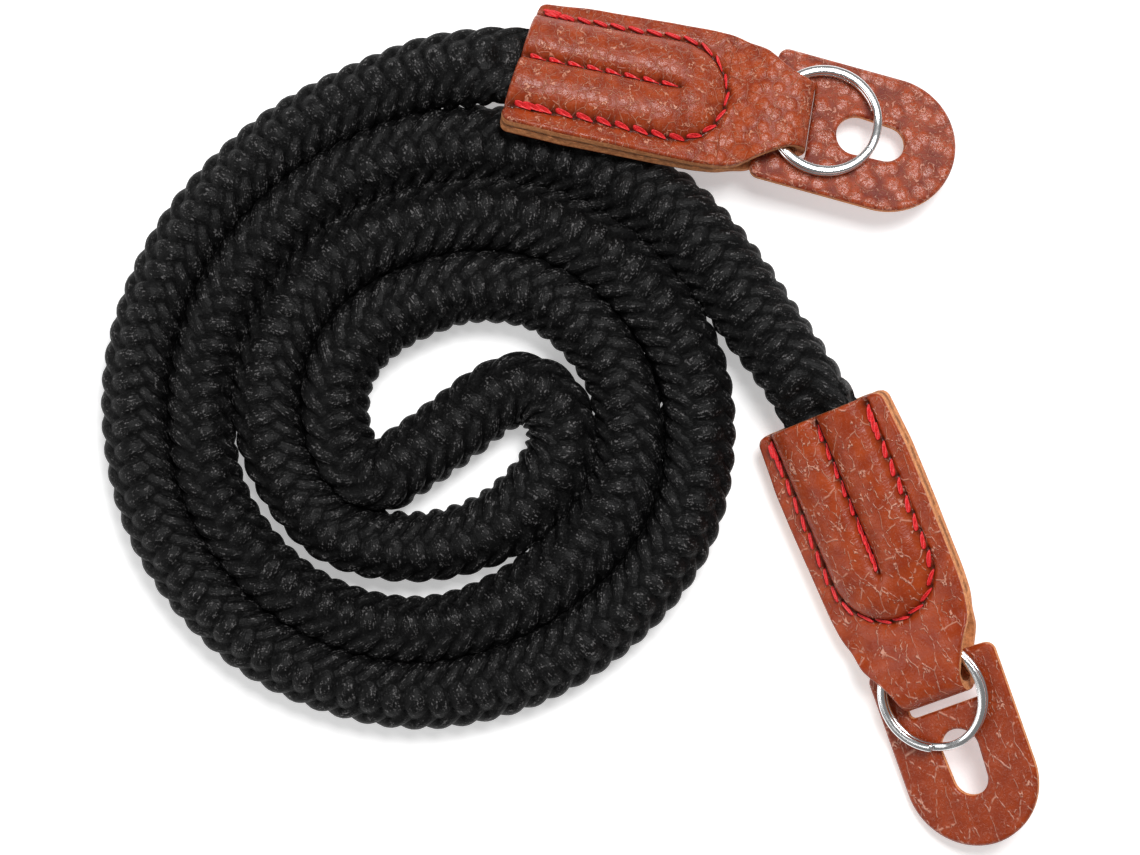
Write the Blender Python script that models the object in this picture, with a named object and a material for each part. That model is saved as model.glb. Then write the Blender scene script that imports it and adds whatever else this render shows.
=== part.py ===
"""A camera strap of braided rope, coiled flat, with a sewn leather tab, a split ring and a guard at each end.

Sizes are in millimetres and angles in degrees until a mesh is made. The strap lies on z = 0. Seen from above,
+X is right and +Y is up, tab a is the upper one, which leans on the coil, and tab b is the lower one.
"""

import math

import bmesh
import bpy
import numpy as np
from mathutils import Matrix

MM = 0.001
# The middle of the strap's box on the floor, in the coordinates that the tables below use
MIDDLE = (0.081, 0.408)

# The coil: both arms of the rope leave an S-fold in the middle and wind clockwise, one inside the other
ROPE_WIDTH = 11.7  # as it lies with room on both sides
ROPE_HEIGHT = 10.8
ROPE_SIDES = 16
TURN_GAP = 0.35  # left between turns where they squeeze the rope narrower
FINE_STEPS = 24  # between two points of the route, where its curve is measured
OTHER_TURN = 26.0  # how far along the rope another stretch has to be to count as a neighbour
TURN_PER_STEP = 0.22  # radians between stations, where their distance stays within the next two
STEP_SHORTEST, STEP_LONGEST = 2.0, 8.0
FLATTENING = 10.0  # the stretch before a mouth over which the rope flattens
MOUTH_STEP = 3.0  # between stations on that stretch
COIL_CENTRE = (-26.1, 8.0)
# bearing from the coil's centre, then how far out the middle of each layer of rope lies there
LAYERS = (
    # bearing, b_inner, a_inner, b_outer, a_outer
    (330, None, 27.6, 40.2, 51.8),
    (300, None, 28.2, 41.5, 52.9),
    (270, None, 28.9, 42.9, 54.0),
    (240, None, 29.8, 42.0, 53.1),
    (210, 16.5, 27.7, 39.9, 51.0),
    (180, 14.1, 25.9, 37.1, 48.4),
    (150, 12.6, 24.4, 35.5, 46.7),
    (120, 12.3, 24.8, 36.2, 47.4),
    (90, 13.7, 26.9, 39.7, None),
    (60, 18.7, 32.5, 45.0, None),
    (30, 26.8, 39.3, None, None),
    (0, 34.6, 47.1, None, None),
)
# The S-fold from arm b to arm a, measured from the coil's centre: x, y
S_FOLD = (
    (-11.7, -14.3),
    (-7.6, -17.0),
    (-2.4, -14.3),
    (6.4, -8.1),
    (12.4, -3.6),
    (17.2, -1.4),
    (22.0, -3.1),
    (24.6, -7.9),
)
# Where each arm leaves the coil for its tab: x, y and the height of the rope's middle
TAIL_A = ((-27.2, 60.1, 6.3), (-17.6, 61.9, 8.3))
TAIL_B = (
    (6.9, 42.9, 5.4),
    (15.8, 37.9, 5.4),
    (22.2, 31.9, 5.4),
    (28.0, 24.7, 5.4),
    (32.6, 18.1, 5.7),
    (37.4, 11.5, 6.7),
)

# A tab: one strip of leather folded in two, its two layers sewn together round the flattened end of the rope
TAB_LENGTH = 52.0
SKEW_REACH = 16.0  # how far in from the mouth its slanted cut is felt
LEATHER = 2.1
SKIVED = 1.6  # thickness where it is pared down to fold round the ring
SKIVED_FROM = (35.5, 42.0)  # where the paring starts and is complete
LAYER_GAP = 0.15  # half the gap between the two layers where they are sewn together
# from the mouth, half width
TAB_OUTLINE = (
    (0, 12.2),
    (10, 12.9),
    (20, 12.8),
    (33, 12.5),
    (37, 12.1),
    (41, 10.9),
    (44, 9.1),
    (46.5, 7.5),
    (48.5, 6.5),
    (50.5, 6.1),
    (52, 5.9),
)
SEAM_HALF_WIDTH = 9.3
SEAM_END = 36.5
SEAM_ROUND = 9.0
CENTRE_SEAM = (26.0, 31.0)  # holds fully up to the first, and not past the second
CENTRE_PINCH = 0.7  # how far the centre seam draws the two layers together
# from the mouth, half the height of the pocket that the rope's end fills
POCKET_HEIGHT = ((0, 3.5), (4, 3.2), (9, 3.0), (28, 2.9), (33, 2.4), (36.5, 1.0))
# from the mouth, half the width of the rope's end
ROPE_END_WIDTH = ((0, 6.7), (5, 7.9), (10, 8.5), (28, 8.5), (31.5, 7.4))
ROPE_END = 31.5
ROPE_CLEARANCE = 0.7
ROPE_END_THINNEST = 0.25  # half its thickness where the seams squeeze it
LOBE_FULLNESS = 0.6  # power of the lobes' cross section, 0.5 for an ellipse
EYE_START, EYE_FULL = 37.0, 40.2
EYE_HALF_HEIGHT = 2.7
# Beside the eye the tab's shoulders stay closed up to the first, and are open past the second
SHOULDER_CLOSED = (40.1, 41.9)
SHOULDER = (7.0, 10.5)  # from the middle, where the shoulders start to close and where they have closed
FOLD_SQUARENESS = 2.4
EYE_BACK = 3.0
BODY_STATIONS = (0, 4, 9, 14, 20, 26, 29, 31.5, 33.5, 35.2, 36.5, 37.4, 38.3, 39.2, 40.2, 41.9, 45, 47.8)
FOLD_STEPS = 6
BODY_COLUMNS = (0, 1.6, 3.2, 5.2, 7.2, 8.5, 9.3)
NARROWEST_RIM = 0.5  # of leather beside the outermost column

# A split ring: two turns of flattened wire, one on the other
RING_RADIUS = 9.8
WIRE_WIDTH = 1.5
WIRE_HEIGHT = 1.0
WIRE_PITCH = 1.2
WIRE_START, WIRE_END = 24.0, 696.0  # bearings where the wire starts and ends
WIRE_STATIONS = 49
WIRE_JOG = (340.0, 380.0)  # bearings between which it climbs from one turn to the next
RING_LEVEL = 1.0  # the middle of the ring above the tab's middle

# A guard: a leather tongue under the ring, held by the strip's fold, which passes through its slit
GUARD_LENGTH = 33.8
GUARD_HALF_WIDTH = 12.0
GUARD_THICKNESS = 1.7
GUARD_LEVEL = -1.3
GUARD_CORNER = 1.7
SLIT = (3.4, 9.0)  # from the guard's end edge
SLIT_HALF_WIDTH = 6.9
SLIT_CORNER = 0.9
HOLE_LARGE = (16.4, 3.5)  # from the end edge, radius
HOLE_SMALL = (21.7, 3.2)

# Finishes: colour, roughness, metallic
BLACK_ROPE = ((0.012, 0.012, 0.013), 0.8, 0.0)
TAN_LEATHER = ((0.45, 0.13, 0.035), 0.5, 0.0)
DARK_LEATHER = ((0.36, 0.1, 0.03), 0.55, 0.0)
NICKEL = ((0.75, 0.75, 0.76), 0.18, 1.0)

# How each end lies, looking from the mouth to the fold. A positive roll lifts its left side, and a positive
# skew sets the mouth's left corner in. The ring and the guard lie as the tab does EYE_BACK short of its fold.
ENDS = {
    "a": {
        "mouth": (-8.7, 61.6),
        "mouth_skew": 0.14,
        "fold": (41.2, 52.7),
        # from the mouth, height of the tab's middle, roll
        "lie": ((0, 9.8, -27), (15, 8.8, -26), (35, 7.4, -18), (52, 6.6, -14)),
        "ring_ahead": 2.5,
        "ring_aside": 0.0,
        "guard_behind": 8.0,
        "guard_aside": -0.2,
        "guard_yaw": -5.4,
    },
    "b": {
        "mouth": (43.0, 2.2),
        "mouth_skew": 0.0,
        "fold": (63.5, -46.8),
        "lie": ((0, 8.55, 27), (15, 8.55, 27), (35, 8.55, 27), (52, 8.55, 27)),
        "ring_ahead": -1.1,
        "ring_aside": -0.7,
        "guard_behind": 7.2,
        "guard_aside": 0.0,
        "guard_yaw": -3.5,
    },
}


def smoothstep(low, high, value):
    share = np.clip((value - low) / (high - low), 0, 1)
    return share * share * (3 - 2 * share)


def column(table, value):
    """A table's second column, read in a straight line between its rows."""
    rows = np.array(table, float)
    return np.interp(value, rows[:, 0], rows[:, 1])


def cubic_column(table, value, index):
    """A four-row table's column, read along the one cubic through its rows."""
    rows = np.array(table, float)
    return np.polyval(np.polyfit(rows[:, 0], rows[:, index], 3), value)


def end_frame(end, from_mouth):
    """A 4 x 4 matrix at a distance from the tab's mouth: ahead, left and up, and the tab's middle there."""
    mouth, fold = np.array(end["mouth"]) - MIDDLE, np.array(end["fold"]) - MIDDLE
    plan = (fold - mouth) / TAB_LENGTH

    def middle(s):
        return np.array((*(mouth + plan * s), cubic_column(end["lie"], max(s, 0.0), 1)))

    ahead = middle(from_mouth + 0.5) - middle(from_mouth - 0.5)
    ahead /= np.linalg.norm(ahead)
    level = np.cross((0, 0, 1), ahead)
    level /= np.linalg.norm(level)
    roll = math.radians(cubic_column(end["lie"], max(from_mouth, 0.0), 2))
    left = level * math.cos(roll) + np.cross(ahead, level) * math.sin(roll)
    frame = np.eye(4)
    frame[:3] = np.column_stack([ahead, left, np.cross(ahead, left), middle(from_mouth)])
    return frame


def along_cubic(points, before, after):
    """Fine points along the centripetal Catmull-Rom curve through the points, with one more at each end."""
    points = np.array([before, *points, after], float)
    fine = []
    for p0, p1, p2, p3 in zip(points, points[1:], points[2:], points[3:]):
        t1 = math.sqrt(np.linalg.norm(p1 - p0))
        t2 = t1 + math.sqrt(np.linalg.norm(p2 - p1))
        t3 = t2 + math.sqrt(np.linalg.norm(p3 - p2))
        t = np.linspace(t1, t2, FINE_STEPS, endpoint=False)[:, None]
        a1 = ((t1 - t) * p0 + t * p1) / t1
        a2 = ((t2 - t) * p1 + (t - t1) * p2) / (t2 - t1)
        a3 = ((t3 - t) * p2 + (t - t2) * p3) / (t3 - t2)
        b1 = ((t2 - t) * a1 + t * a2) / t2
        b2 = ((t3 - t) * a2 + (t - t1) * a3) / (t3 - t1)
        fine.append(((t2 - t) * b1 + (t - t1) * b2) / (t2 - t1))
    return np.vstack([*fine, points[-2:-1]])


def rope_route():
    """Places along the rope's middle from tab b's mouth to tab a's, their distances along it and its widths.

    The places are closer together where the rope bends sharply.
    """
    centre = np.array(COIL_CENTRE) - MIDDLE
    layers = {"b": (1, 3), "a": (2, 4)}
    arms = {}
    for arm, columns in layers.items():
        arms[arm] = []
        for layer in columns:
            for row in LAYERS:
                if row[layer] is not None:
                    bearing = math.radians(row[0])
                    out = np.array((math.cos(bearing), math.sin(bearing))) * row[layer]
                    arms[arm].append((*(centre + out), ROPE_HEIGHT / 2))
    fold = [(*(centre + point), ROPE_HEIGHT / 2) for point in np.array(S_FOLD)]
    tails = [[(*(np.array(point[:2]) - MIDDLE), point[2]) for point in tail] for tail in (TAIL_B, TAIL_A)]
    mouths = [end_frame(ENDS[name], 0)[:3, 3] for name in "ba"]
    inside = [end_frame(ENDS[name], FLATTENING)[:3, 3] for name in "ba"]
    points = [mouths[0], *tails[0][::-1], *arms["b"][::-1], *fold, *arms["a"], *tails[1], mouths[1]]
    fine = along_cubic(points, inside[0], inside[1])
    fine[:, 2] = np.maximum(fine[:, 2], ROPE_HEIGHT / 2)

    along = np.concatenate([[0], np.cumsum(np.linalg.norm(np.diff(fine, axis=0), axis=1))])
    tangent = np.gradient(fine, along, axis=0)
    bend = np.linalg.norm(np.gradient(tangent, along, axis=0), axis=1)
    step = np.clip(TURN_PER_STEP / np.maximum(bend, 1e-6), STEP_SHORTEST, STEP_LONGEST)
    near_mouth = np.minimum(along, along[-1] - along) < FLATTENING
    step[near_mouth] = MOUTH_STEP
    effort = np.concatenate([[0], np.cumsum(np.diff(along) / step[1:])])
    stations = np.linspace(0, effort[-1], math.ceil(effort[-1]) + 1)
    route = np.column_stack([np.interp(stations, effort, fine[:, axis]) for axis in range(3)])
    distances = np.interp(stations, effort, along)
    widths = []
    for place, distance in zip(route, distances):
        others = fine[np.abs(along - distance) > OTHER_TURN]
        room = np.linalg.norm(others - place, axis=1).min() - TURN_GAP
        widths.append(min(ROPE_WIDTH, room))
    return route, distances, widths


def seam_half_width(s):
    """Half the width inside the U-shaped seam."""
    into_round = np.clip((s - (SEAM_END - SEAM_ROUND)) / SEAM_ROUND, 0, 1)
    return SEAM_HALF_WIDTH * math.sqrt(1 - into_round**2)


def half_gap(s, t):
    """Half the space between the tab's two layers: two lobes round the rope's end, then the eye."""
    inside = seam_half_width(s)
    across = min(abs(t) / inside, 1) if inside > 0 else 1
    one_lobe = (1 - across**2) ** LOBE_FULLNESS
    two_lobes = (1 - (2 * across - 1) ** 2) ** LOBE_FULLNESS
    pinch = CENTRE_PINCH * (1 - smoothstep(*CENTRE_SEAM, s))
    pocket = column(POCKET_HEIGHT, s) * ((1 - pinch) * one_lobe + pinch * two_lobes)
    shoulder = (1 - smoothstep(*SHOULDER_CLOSED, s)) * smoothstep(*SHOULDER, abs(t))
    eye = (EYE_HALF_HEIGHT - LAYER_GAP) * smoothstep(EYE_START, EYE_FULL, s) * (1 - shoulder)
    return LAYER_GAP + max(pocket if s < SEAM_END else 0, eye)


def rope_ring(frame, blend, s, coil_width=ROPE_WIDTH):
    """One ring of the rope: nearly round in the coil, flattened into the tab's two lobes where blend is 1."""
    ring = []
    width = column(ROPE_END_WIDTH, s)
    for k in range(ROPE_SIDES):
        angle = 2 * math.pi * k / ROPE_SIDES
        round_point = np.array((math.cos(angle) * coil_width, math.sin(angle) * ROPE_HEIGHT)) / 2
        across = width * math.cos(angle)
        thick = max(half_gap(s, across) - ROPE_CLEARANCE, ROPE_END_THINNEST)
        flat_point = np.array((across, thick * np.sign(round(math.sin(angle), 6))))
        side, up = round_point * (1 - blend) + flat_point * blend
        ring.append(frame[:3, 3] + frame[:3, 1] * side + frame[:3, 2] * up)
    return ring


def mesh_object(name, vertices, faces, finish=None, placed=None):
    """An object of this mesh, in its finish unless it is a cutter, placed by a frame."""
    mesh = bpy.data.meshes.new(name)
    mesh.from_pydata([tuple(np.array(v) * MM) for v in vertices], [], faces)
    built = bmesh.new()
    built.from_mesh(mesh)
    bmesh.ops.recalc_face_normals(built, faces=built.faces)
    built.to_mesh(mesh)
    built.free()
    mesh.shade_smooth()
    mesh.set_sharp_from_angle(angle=math.radians(40))
    obj = bpy.data.objects.new(name, mesh)
    if placed is not None:
        matrix = placed.copy()
        matrix[:3, 3] *= MM
        obj.matrix_world = Matrix(matrix.tolist())
    bpy.context.scene.collection.objects.link(obj)
    if finish is not None:
        colour, roughness, metallic = finish
        material = bpy.data.materials.new(name)
        material.use_nodes = True
        shader = material.node_tree.nodes["Principled BSDF"]
        shader.inputs["Base Color"].default_value = (*colour, 1)
        shader.inputs["Roughness"].default_value = roughness
        shader.inputs["Metallic"].default_value = metallic
        mesh.materials.append(material)
    return obj


def lofted(rings, closed=False):
    """Vertices and faces of a skin over rings of points, with flat ends unless it closes on itself."""
    sides = len(rings[0])
    vertices = [point for ring in rings for point in ring]
    faces = []
    for i in range(len(rings) - (0 if closed else 1)):
        low, high = i * sides, ((i + 1) % len(rings)) * sides
        for k in range(sides):
            after = (k + 1) % sides
            faces.append((low + k, low + after, high + after, high + k))
    if not closed:
        faces.append(tuple(range(sides))[::-1])
        faces.append(tuple(range(len(vertices) - sides, len(vertices))))
    return vertices, faces


def make_rope():
    route, along, widths = rope_route()
    tangents = np.gradient(route, axis=0)
    frames = {name: end_frame(end, 0) for name, end in ENDS.items()}
    end_stations = [s for s in BODY_STATIONS if 0 < s <= ROPE_END]
    rings = []
    for s in reversed(end_stations):
        frame = end_frame(ENDS["b"], s)
        frame[:3, 1] *= -1
        rings.append(rope_ring(frame, 1, s))
    for centre, tangent, distance, width in zip(route, tangents, along, widths):
        from_end = min(distance, along[-1] - distance)
        blend = 1 - smoothstep(0, FLATTENING, from_end)
        level = np.cross((0, 0, 1), tangent)
        level /= np.linalg.norm(level)
        up = np.cross(tangent, level)
        up /= np.linalg.norm(up)
        mouth = frames["b" if distance < along[-1] / 2 else "a"]
        side_there = -mouth[:3, 1] if distance < along[-1] / 2 else mouth[:3, 1]
        side = level * (1 - blend) + side_there * blend
        up = up * (1 - blend) + mouth[:3, 2] * blend
        frame = np.eye(4)
        frame[:3, 1], frame[:3, 2] = side / np.linalg.norm(side), up / np.linalg.norm(up)
        frame[:3, 3] = centre
        rings.append(rope_ring(frame, blend, 0, width))
    for s in end_stations:
        rings.append(rope_ring(end_frame(ENDS["a"], s), 1, s))
    mesh_object("braided_rope", *lofted(rings), BLACK_ROPE)


def tab_rows():
    """The strip from the mouth over the top, round the fold and back.

    A row has the place of its inner and outer faces along the tab, then their levels, which vary across it.
    """
    rows = []
    for s in BODY_STATIONS:
        thick = LEATHER + (SKIVED - LEATHER) * smoothstep(*SKIVED_FROM, s)
        rows.append((s, s, lambda t, s=s: half_gap(s, t), lambda t, s=s, thick=thick: half_gap(s, t) + thick))
    centre = BODY_STATIONS[-1]
    deep = {"inner": TAB_LENGTH - SKIVED - centre, "outer": TAB_LENGTH - centre}
    high = {"inner": EYE_HALF_HEIGHT, "outer": EYE_HALF_HEIGHT + SKIVED}
    for k in range(1, FOLD_STEPS):
        angle = math.pi / 2 - math.pi * k / FOLD_STEPS
        reach = abs(math.cos(angle)) ** (2 / FOLD_SQUARENESS)
        rise = math.copysign(abs(math.sin(angle)) ** (2 / FOLD_SQUARENESS), round(math.sin(angle), 9))
        levels = [lambda t, level=high[face] * rise: level for face in ("inner", "outer")]
        rows.append((centre + deep["inner"] * reach, centre + deep["outer"] * reach, *levels))
    for inner_s, outer_s, inner, outer in rows[: len(BODY_STATIONS)][::-1]:
        under = [lambda t, level=level: -level(t) for level in (inner, outer)]
        rows.append((inner_s, outer_s, *under))
    return rows


def make_tab(name, end):
    columns = sorted({-c for c in BODY_COLUMNS} | set(BODY_COLUMNS))
    sections = []
    for inner_s, outer_s, inner, outer in tab_rows():
        half_width = column(TAB_OUTLINE, outer_s)
        shares = [c / SEAM_HALF_WIDTH * min(seam_half_width(0), half_width - NARROWEST_RIM) for c in columns]
        across = [-half_width, *shares, half_width]
        section = []
        for s, level, order in ((inner_s, inner, across), (outer_s, outer, across[::-1])):
            frame = end_frame(end, s)
            for t in order:
                skew = end["mouth_skew"] * (1 - smoothstep(0, SKEW_REACH, s))
                point = frame @ (skew * t, t, level(t), 1)
                section.append(point[:3])
        sections.append(section)
    mesh_object(name, *lofted(sections), TAN_LEATHER)


def make_ring(name, frame):
    corners = [(-2, -1), (-1, -2), (1, -2), (2, -1), (2, 1), (1, 2), (-1, 2), (-2, 1)]
    rings = []
    for bearing in np.linspace(WIRE_START, WIRE_END, WIRE_STATIONS):
        climb = WIRE_PITCH * (smoothstep(*WIRE_JOG, bearing) - 0.5)
        turn = math.radians(bearing)
        ring = []
        for out, up in corners:
            radius = RING_RADIUS + (out / 4 - 0.5) * WIRE_WIDTH
            ring.append((radius * math.cos(turn), radius * math.sin(turn), climb + up / 4 * WIRE_HEIGHT))
        rings.append(ring)
    mesh_object(name, *lofted(rings), NICKEL, placed=frame)


def arc(centre, radius, start, end, steps):
    """Points along an arc, between bearings."""
    turn = [math.radians(start + (end - start) * k / steps) for k in range(steps + 1)]
    return [(centre[0] + radius * math.cos(a), centre[1] + radius * math.sin(a)) for a in turn]


def prism(name, outline, half_thickness, finish, placed):
    sides = [[(x, y, level) for x, y in outline] for level in (-half_thickness, half_thickness)]
    return mesh_object(name, *lofted(sides), finish, placed)


def cut(plate, name, outline):
    """Cuts a straight hole of this outline through a plate."""
    cutter = prism(name, outline, GUARD_THICKNESS * 2, None, None)
    cutter.matrix_world = plate.matrix_world
    cutter.hide_render = True
    cutter.display_type = "WIRE"
    through = plate.modifiers.new(name, "BOOLEAN")
    through.operation = "DIFFERENCE"
    through.object = cutter


def make_guard(name, frame):
    w, r = GUARD_HALF_WIDTH, GUARD_CORNER
    outline = [
        *arc((r, w - r), r, 90, 180, 3),
        *arc((r, r - w), r, 180, 270, 3),
        *arc((GUARD_LENGTH - w, 0), w, -90, 90, 18),
    ]
    plate = prism(name, outline, GUARD_THICKNESS / 2, DARK_LEATHER, frame)
    (near, far), w, r = SLIT, SLIT_HALF_WIDTH, SLIT_CORNER
    slit = [
        *arc((near + r, w - r), r, 90, 180, 3),
        *arc((near + r, r - w), r, 180, 270, 3),
        *arc((far - r, r - w), r, 270, 360, 3),
        *arc((far - r, w - r), r, 0, 90, 3),
    ]
    cut(plate, name + "_slit", slit)
    (near, large), (far, small) = HOLE_LARGE, HOLE_SMALL
    hole = [*arc((near, 0), large, 90, 270, 9), *arc((far, 0), small, -90, 90, 9)]
    cut(plate, name + "_hole", hole)


def moved(frame, ahead, left, up, yaw=0.0):
    """A frame carried along its own directions, after a turn about its up direction."""
    turn = Matrix.Translation((ahead, left, up)) @ Matrix.Rotation(math.radians(yaw), 4, "Z")
    return frame @ np.array(turn)


def main():
    for old in list(bpy.data.objects):
        bpy.data.objects.remove(old)
    make_rope()
    for letter, end in ENDS.items():
        make_tab("leather_tab_" + letter, end)
        eye = end_frame(end, TAB_LENGTH - EYE_BACK)
        ring = moved(eye, EYE_BACK + end["ring_ahead"], end["ring_aside"], RING_LEVEL)
        make_ring("split_ring_" + letter, ring)
        turned = moved(eye, EYE_BACK, end["guard_aside"], GUARD_LEVEL, end["guard_yaw"])
        make_guard("leather_guard_" + letter, moved(turned, -end["guard_behind"], 0, 0))


main()
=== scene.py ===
"""The looks of a coiled rope camera strap: its braid, its sewn leather ends and its rings, on a pale table.

The tables are in millimetres, as a maker would measure them, and turn into metres where a mesh is made. They
are laid out from the photo's middle, with +X to its right and +Y to its top.
"""

import math

import bpy
import numpy as np
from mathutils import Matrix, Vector
from mathutils.geometry import delaunay_2d_cdt


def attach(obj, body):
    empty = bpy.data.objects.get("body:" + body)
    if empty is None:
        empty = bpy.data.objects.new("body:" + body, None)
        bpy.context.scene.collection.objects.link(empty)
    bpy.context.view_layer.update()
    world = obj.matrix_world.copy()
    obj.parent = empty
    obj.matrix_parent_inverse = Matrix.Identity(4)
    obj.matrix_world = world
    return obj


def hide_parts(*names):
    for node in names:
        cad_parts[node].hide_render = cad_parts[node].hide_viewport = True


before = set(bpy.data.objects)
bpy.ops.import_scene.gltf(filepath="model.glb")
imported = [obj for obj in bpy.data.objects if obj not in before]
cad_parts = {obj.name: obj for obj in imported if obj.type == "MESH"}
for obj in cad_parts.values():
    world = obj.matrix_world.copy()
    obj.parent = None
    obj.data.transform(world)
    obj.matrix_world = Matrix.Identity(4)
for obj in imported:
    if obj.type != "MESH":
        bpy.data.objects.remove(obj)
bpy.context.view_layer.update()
MM = 0.001

# The table and the light
# A pale sheet of card that the strap lies on, under a broad soft light from above and the camera straight over
# it. The camera is far off behind a long lens, so that the tabs' sides show no more than in the photo.
STRAP_MIDDLE = np.array((0.081, 0.408))
VIEW_MIDDLE = np.array((0.0, -0.172))
VIEW_WIDTH = 196.08
VIEW_LEVEL = 6.0
CAMERA_ABOVE = 600.0
CARD_SIZE = 3000.0
SENSOR = 36.0

camera_data = bpy.data.cameras.new("camera")
camera_data.sensor_width = SENSOR
camera_data.lens = SENSOR * CAMERA_ABOVE / VIEW_WIDTH
camera = bpy.data.objects.new("camera", camera_data)
camera.location = Vector((*(VIEW_MIDDLE - STRAP_MIDDLE), VIEW_LEVEL + CAMERA_ABOVE)) * MM
bpy.context.scene.collection.objects.link(camera)
bpy.context.scene.camera = camera


def new_finish(name, colour, roughness, metallic=0.0):
    """A material, its node tree and its Principled shader."""
    material = bpy.data.materials.new(name)
    material.use_nodes = True
    shader = material.node_tree.nodes["Principled BSDF"]
    shader.inputs["Base Color"].default_value = (*colour, 1)
    shader.inputs["Roughness"].default_value = roughness
    shader.inputs["Metallic"].default_value = metallic
    return material, material.node_tree, shader


def add_mesh(name, points_mm, faces, materials, face_material=None, placed=None):
    """A smooth-shaded object from points in millimetres, placed by a frame if one is given."""
    mesh = bpy.data.meshes.new(name)
    mesh.from_pydata((np.asarray(points_mm) * MM).tolist(), [], faces)
    for material in materials:
        mesh.materials.append(material)
    if face_material is not None:
        mesh.polygons.foreach_set("material_index", face_material)
    mesh.shade_smooth()
    obj = bpy.data.objects.new(name, mesh)
    if placed is not None:
        points = np.asarray(points_mm) @ placed[:3, :3].T + placed[:3, 3]
        mesh.vertices.foreach_set("co", (points * MM).ravel())
        mesh.update()
    bpy.context.scene.collection.objects.link(obj)
    return obj


def soft_light(name, place, size, power):
    """A square softbox over the strap, aimed at its middle."""
    data = bpy.data.lights.new(name, "AREA")
    data.size = size
    data.energy = power
    light = bpy.data.objects.new(name, data)
    light.location = place
    light.rotation_euler = (-Vector(place)).to_track_quat("-Z", "Y").to_euler()
    bpy.context.scene.collection.objects.link(light)


card_finish, _, card_shader = new_finish("card", (0.9, 0.9, 0.9), 0.9)
card_shader.inputs["Emission Color"].default_value = (1, 1, 1, 1)
card_shader.inputs["Emission Strength"].default_value = 0.4
half = CARD_SIZE / 2
card = add_mesh("card", [(-half, -half, 0), (half, -half, 0), (half, half, 0), (-half, half, 0)],
                [(0, 1, 2, 3)], [card_finish])
soft_light("overhead", (0.22, 0.5, 1.1), 0.5, 13.5)
soft_light("low_side", (-0.9, -0.2, 0.6), 0.6, 3.0)
world = bpy.data.worlds.new("room")
world.use_nodes = True
world.node_tree.nodes["Background"].inputs["Color"].default_value = (1, 1, 1, 1)
world.node_tree.nodes["Background"].inputs["Strength"].default_value = 0.22
bpy.context.scene.world = world
bpy.context.scene.view_settings.view_transform = "Standard"

# Braided rope
# One length of black cotton-like rope, braided from twelve plump strands, each passing over two and under two.
# It is coiled by hand as a double spiral round an S-fold, and its two ends are squeezed flat and sewn into the
# tabs.
ROPE_HEIGHT = 10.8
TURN_PRESS = 1.6
OTHER_TURN = 26.0
COIL_CENTRE = np.array((-26.1, 8.0))
LAYERS = (
    # bearing, b_inner, a_inner, b_outer, a_outer
    (330, None, 27.6, 40.2, 51.8),
    (300, None, 28.2, 41.5, 52.9),
    (270, None, 28.9, 42.9, 54.0),
    (240, None, 29.8, 42.0, 53.1),
    (210, 16.5, 27.7, 39.9, 51.0),
    (180, 14.1, 25.9, 37.1, 48.4),
    (150, 12.6, 24.4, 35.5, 46.7),
    (120, 12.3, 24.8, 36.2, 47.4),
    (90, 13.7, 26.9, 39.7, None),
    (60, 18.7, 32.5, 45.0, None),
    (30, 26.8, 39.3, None, None),
    (0, 34.6, 47.1, None, None),
)
S_FOLD = ((-11.7, -14.3), (-7.6, -17.0), (-2.4, -14.3), (6.4, -8.1), (12.4, -3.6), (17.2, -1.4), (22.0, -3.1),
          (24.6, -7.9))
TAIL_A = ((-27.2, 60.1, 6.3), (-17.6, 61.9, 8.3))
TAIL_B = ((6.9, 42.9, 5.4), (15.8, 37.9, 5.4), (22.2, 31.9, 5.4), (28.0, 24.7, 5.4), (32.6, 18.1, 5.7),
          (37.4, 11.5, 6.7))
# Half the rope's width on either side of its middle, on the way from tab b to tab a
HALF_WIDTHS = (
    # from tab b's mouth, on the left, on the right
    (0, 6.3, 6.2), (15, 6.7, 6.6), (25, 6.9, 6.9), (45, 6.8, 7.0), (55, 6.5, 6.9), (65, 6.3, 6.8),
    (85, 6.5, 6.8), (100, 6.3, 6.2), (155, 5.6, 6.2), (170, 5.2, 6.2), (195, 5.2, 6.2), (218, 5.7, 6.2),
    (232, 6.4, 6.2), (244, 6.9, 6.2), (253, 6.7, 6.2), (262, 6.0, 6.2), (275, 5.7, 6.2), (300, 6.0, 6.5),
    (325, 6.5, 6.6), (345, 6.0, 6.0), (380, 6.2, 6.1), (396, 5.9, 6.0), (408, 6.8, 6.0), (416, 6.6, 6.0),
    (426, 5.9, 6.0), (435, 5.6, 6.1), (455, 5.3, 6.2), (475, 6.0, 6.2), (505, 6.4, 6.7), (530, 6.5, 6.7),
    (556, 6.6, 6.4), (572, 6.5, 6.2), (590, 6.2, 6.2), (640, 6.2, 6.1), (675, 5.6, 6.1), (743, 5.7, 6.1),
    (780, 5.5, 6.2), (805, 5.6, 6.6), (825, 5.8, 7.1), (836, 5.9, 7.1),
)
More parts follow.
